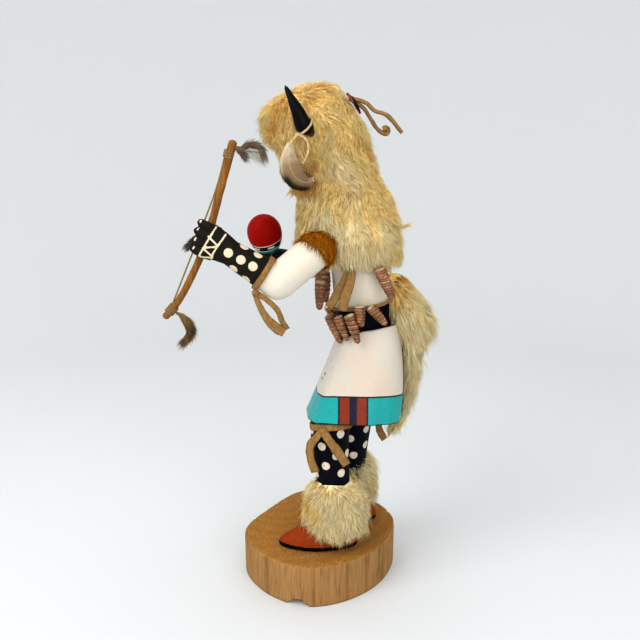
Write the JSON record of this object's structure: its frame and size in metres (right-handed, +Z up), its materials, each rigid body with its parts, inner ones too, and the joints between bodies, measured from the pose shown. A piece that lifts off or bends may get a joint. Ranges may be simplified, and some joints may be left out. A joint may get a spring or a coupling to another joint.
{
  "type": "kachina doll",
  "caption": "Standing kachina doll: carved painted wooden dancer with fur hood, leather kilt, bow and rattle, on a sawn wood slab.",
  "frame": {"origin": "on the underside of the sawn slab, near its middle", "axes": "+Z up, the figure faces -Y, its left side is +X"},
  "size_m": [0.1359, 0.2134, 0.4055],
  "materials": {
    "slab_wood": "matte",
    "painted_wood": "matte",
    "cream_fur": "matte",
    "brown_hide": "matte",
    "tan_leather": "matte",
    "painted_leather": "satin",
    "black_horn": "satin",
    "feather": "matte",
    "brown_tuft": "matte",
    "shell": "satin",
    "bow_wood": "satin",
    "string": "matte",
    "rattle_paint": "satin"
  },
  "bodies": {
    "root": {"base_slab": "slab_wood", "carved_figure": "painted_wood", "left_arm": "painted_wood", "right_arm": "painted_wood", "rattle": "rattle_paint", "fur_hood": "cream_fur", "fur_cape": "cream_fur", "back_pelt": "cream_fur", "left_anklet": "cream_fur", "right_anklet": "cream_fur", "left_shoulder_hide": "brown_hide", "right_shoulder_hide": "brown_hide", "kilt": "painted_leather", "left_horn": "black_horn", "right_horn": "black_horn", "left_horn_thong": "tan_leather", "right_horn_thong": "tan_leather", "left_feather": "feather", "right_feather": "feather", "hood_tie": "tan_leather", "left_elbow_tie": "tan_leather", "right_elbow_tie": "tan_leather", "left_garter": "tan_leather", "right_garter": "tan_leather", "chest_tie": "tan_leather", "belt_thong": "tan_leather", "necklace_shell_front_left": "shell", "necklace_shell_front_right": "shell", "necklace_shell_inner_left": "shell", "necklace_shell_inner_right": "shell", "necklace_shell_rear_left": "shell", "necklace_shell_rear_right": "shell", "belt_shell_left_1": "shell", "belt_shell_right_1": "shell", "belt_shell_left_2": "shell", "belt_shell_right_2": "shell", "belt_shell_left_3": "shell", "belt_shell_right_3": "shell", "belt_shell_left_4": "shell", "belt_shell_right_4": "shell", "belt_shell_left_5": "shell", "belt_shell_right_5": "shell", "bow_stick": "bow_wood", "bow_string": "string", "bow_tuft_top": "brown_tuft", "bow_tuft_middle": "brown_tuft", "bow_tuft_bottom": "brown_tuft"}
  },
  "joints": []
}
